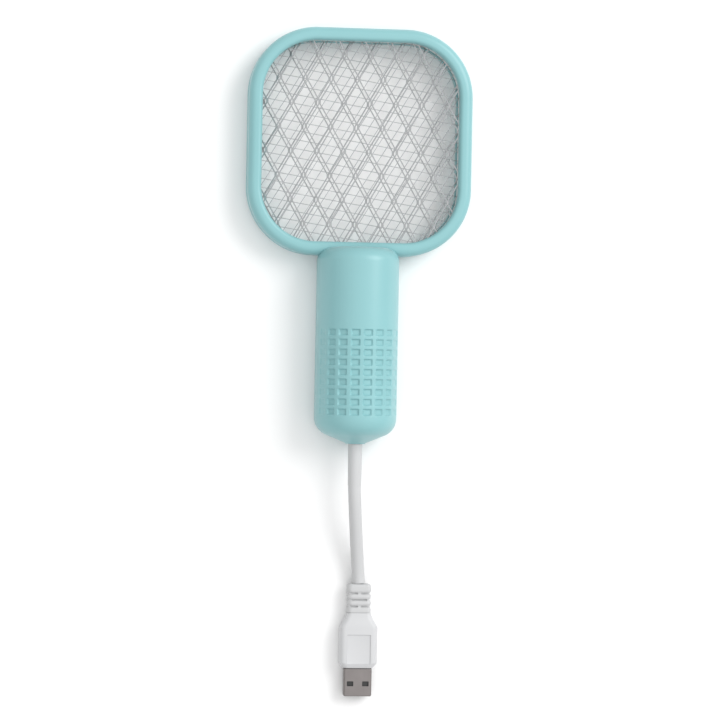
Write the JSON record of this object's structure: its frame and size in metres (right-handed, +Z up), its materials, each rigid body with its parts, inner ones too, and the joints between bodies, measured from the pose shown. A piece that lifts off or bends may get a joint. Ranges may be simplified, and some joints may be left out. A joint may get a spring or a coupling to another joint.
{
  "type": "electric fly swatter",
  "caption": "Pocket electric fly swatter: a rounded square head with three metal meshes, a half-round handle with a grip of recessed squares, and a short lead with a USB plug.",
  "frame": {"origin": "on the surface that the swatter lies on, under the middle of the swatter's own box, without its lead and plug", "axes": "+Y along the handle towards the head, -Y towards the lead, +Z up from the flat back to the front of the mesh, +X to the right as seen from the front"},
  "size_m": [0.096, 0.2855, 0.0293],
  "materials": {
    "mint_plastic": "satin gloss moulded plastic, pale mint",
    "mesh_steel": "bright plated steel",
    "spacer_plastic": "matt insulating plastic",
    "screw_steel": "plated steel",
    "white_plastic": "satin moulded plastic, white",
    "component_black": "black moulding resin",
    "clear_plastic": "clear polished plastic",
    "board_green": "glass-fibre board with a green mask",
    "ferrite": "dark sintered ferrite",
    "coil_tape": "copper winding under yellow tape",
    "capacitor_red": "dipped film capacitor",
    "resistor_tan": "coated resistor",
    "cell_sleeve": "steel can in a shrunk plastic sleeve",
    "nickel": "nickel strip",
    "wire_red": "insulated wire",
    "wire_black": "insulated wire",
    "lead_white": "soft white cable jacket",
    "plug_steel": "drawn plated steel",
    "contact_gold": "gold plated contact"
  },
  "bodies": {
    "swatter": {"front_shell": "mint_plastic", "rear_shell": "mint_plastic", "handle_screw_1": "screw_steel", "handle_screw_2": "screw_steel", "handle_screw_3": "screw_steel", "handle_screw_4": "screw_steel", "front_guard_mesh": "mesh_steel", "rear_guard_mesh": "mesh_steel", "inner_grid": "mesh_steel", "front_spacer_frame": "spacer_plastic", "rear_spacer_frame": "spacer_plastic", "tact_switch_body": "component_black", "slide_switch_body": "screw_steel", "charge_lamp": "white_plastic", "light_pipe": "clear_plastic", "circuit_board": "board_green", "transformer_core": "ferrite", "transformer_coil": "coil_tape", "hv_capacitor": "capacitor_red", "rectifier_diode_1": "component_black", "rectifier_diode_2": "component_black", "rectifier_diode_3": "component_black", "bleed_resistor": "resistor_tan", "drive_transistor": "component_black", "charge_chip": "component_black", "lithium_cell": "cell_sleeve", "cell_tab_positive": "nickel", "cell_tab_negative": "nickel", "cell_wire_positive": "wire_red", "cell_wire_negative": "wire_black", "usb_wire_red": "wire_red", "usb_wire_black": "wire_black", "grid_wire": "wire_red", "front_guard_wire": "wire_black", "rear_guard_wire": "wire_black", "lead_strain_relief": "lead_white", "power_lead": "lead_white", "plug_boot": "lead_white", "plug_body": "white_plastic", "plug_shell": "plug_steel", "plug_tongue": "white_plastic", "plug_contact_1": "contact_gold", "plug_contact_2": "contact_gold", "plug_contact_3": "contact_gold", "plug_contact_4": "contact_gold"},
    "button": {"button_cap": "mint_plastic", "tact_switch_plunger": "white_plastic"},
    "power_knob": {"slide_switch_knob": "white_plastic"}
  },
  "joints": [
    {"name": "button_press", "type": "slide", "parent": "swatter", "child": "button", "axis": [0, 0, 1], "range_m": [0, 0.001], "stiffness_N_per_m": 1500, "springref_m": -0.0006},
    {"name": "power_slide", "type": "slide", "parent": "swatter", "child": "power_knob", "axis": [0, 1, 0], "range_m": [0, 0.003]}
  ]
}
